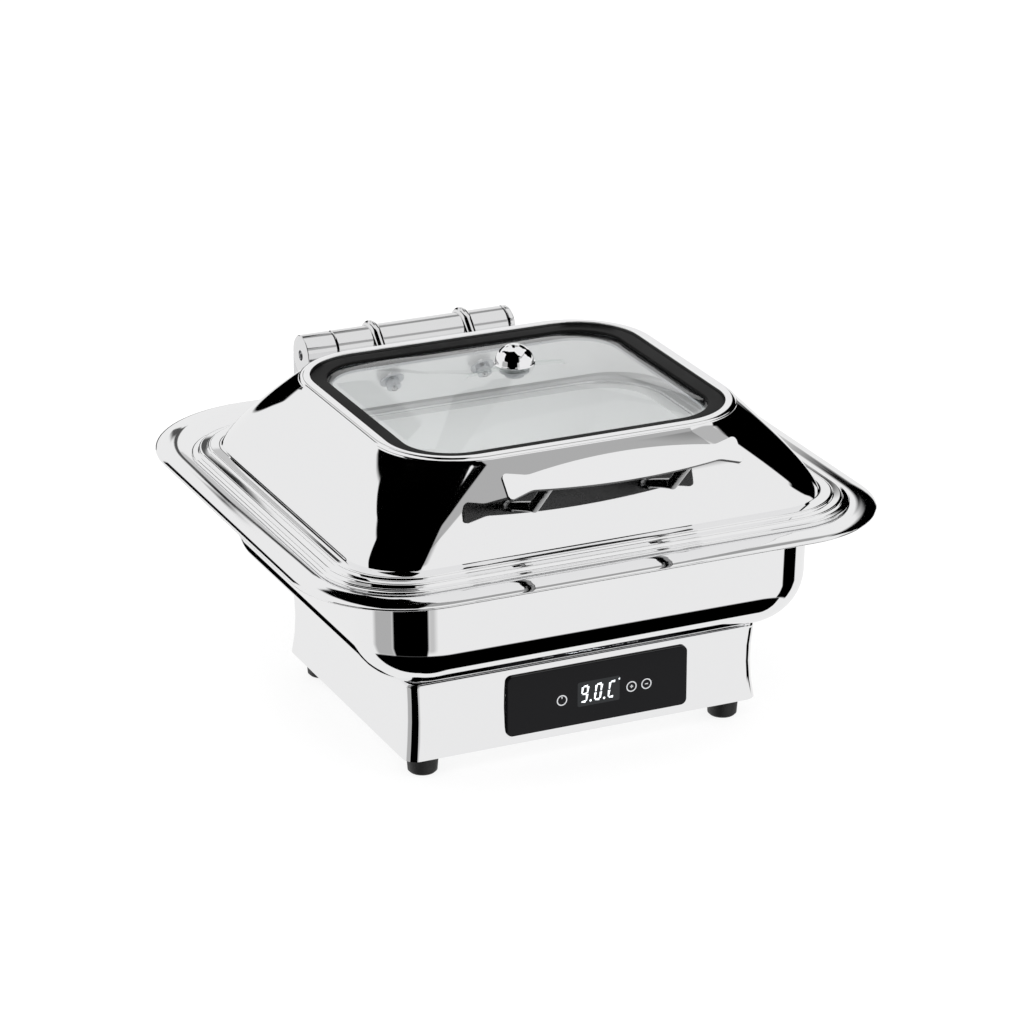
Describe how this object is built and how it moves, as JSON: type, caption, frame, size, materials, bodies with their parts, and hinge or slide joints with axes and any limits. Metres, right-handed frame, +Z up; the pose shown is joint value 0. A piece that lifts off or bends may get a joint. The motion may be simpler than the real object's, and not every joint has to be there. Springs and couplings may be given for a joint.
{
  "type": "electric chafing dish",
  "caption": "Rectangular electric chafing dish: mirror steel lid with glass window on a rear hinge, water pan with wide flange, food pan and a heated base with control panel.",
  "frame": {"origin": "centre of the overall box on the ground plane under the feet", "axes": "+X to the right seen from the control panel, +Y towards the lid hinge at the back, +Z up"},
  "size_m": [0.4478, 0.438, 0.272],
  "materials": {
    "polished_steel": "mirror polished stainless steel",
    "brushed_steel": "satin stainless steel",
    "chrome": "bright chrome plate",
    "zinc_steel": "bright zinc plate",
    "black_rubber": "matte",
    "black_gloss": "gloss",
    "display_grey": "gloss, lit white digits",
    "key_grey": "gloss, printed white symbol",
    "circuit_green": "satin",
    "black_plastic": "satin",
    "white_plastic": "satin",
    "cast_aluminium": "cast",
    "element_steel": "oxidised tube",
    "clear_glass": "clear tempered glass"
  },
  "bodies": {
    "base": {"base_shell": "brushed_steel", "board_spacer_left": "zinc_steel", "board_spacer_right": "zinc_steel", "bottom_plate": "brushed_steel", "bracket_screws": "zinc_steel", "control_board": "circuit_green", "control_fascia": "black_gloss", "display_module": "black_plastic", "display_window": "display_grey", "foot_back_left": "black_rubber", "foot_back_right": "black_rubber", "foot_front_left": "black_rubber", "foot_front_right": "black_rubber", "foot_screws": "zinc_steel", "heater_clamp_bar": "brushed_steel", "heater_plate": "cast_aluminium", "heating_element": "element_steel", "hinge_axle": "zinc_steel", "hinge_bracket_left": "brushed_steel", "hinge_bracket_right": "brushed_steel", "hinge_damper": "black_plastic", "hinge_end_left": "polished_steel", "hinge_end_right": "polished_steel", "pan_support": "brushed_steel", "power_inlet": "black_plastic", "terminal_block": "white_plastic", "thermal_cutout": "black_plastic", "thermostat": "white_plastic", "touch_key_minus": "key_grey", "touch_key_plus": "key_grey", "touch_key_power": "key_grey", "water_pan": "polished_steel"},
    "lid": {"lid_shell": "polished_steel", "window_gasket": "black_rubber", "window_glass": "clear_glass", "glass_frame": "zinc_steel", "vent_cap": "chrome", "vent_nut": "zinc_steel", "handle_plate": "chrome", "handle_post_left": "chrome", "handle_post_right": "chrome", "handle_washers": "zinc_steel", "handle_nuts": "zinc_steel", "hinge_barrel": "polished_steel", "hinge_bush_left": "black_plastic", "hinge_bush_right": "black_plastic", "hinge_arm_left": "polished_steel", "hinge_arm_right": "polished_steel", "arm_washers": "zinc_steel", "arm_nuts": "zinc_steel"},
    "food_pan": {"food_pan": "brushed_steel"}
  },
  "joints": [
    {"name": "lid_hinge", "type": "hinge", "parent": "base", "child": "lid", "pos_m": [0, 0.16315, 0.2205], "axis": [-1, 0, 0], "range_deg": [0, 90]},
    {"name": "food_pan_lift", "type": "slide", "parent": "base", "child": "food_pan", "axis": [0, 0, 1], "range_m": [0, 0.002]}
  ]
}
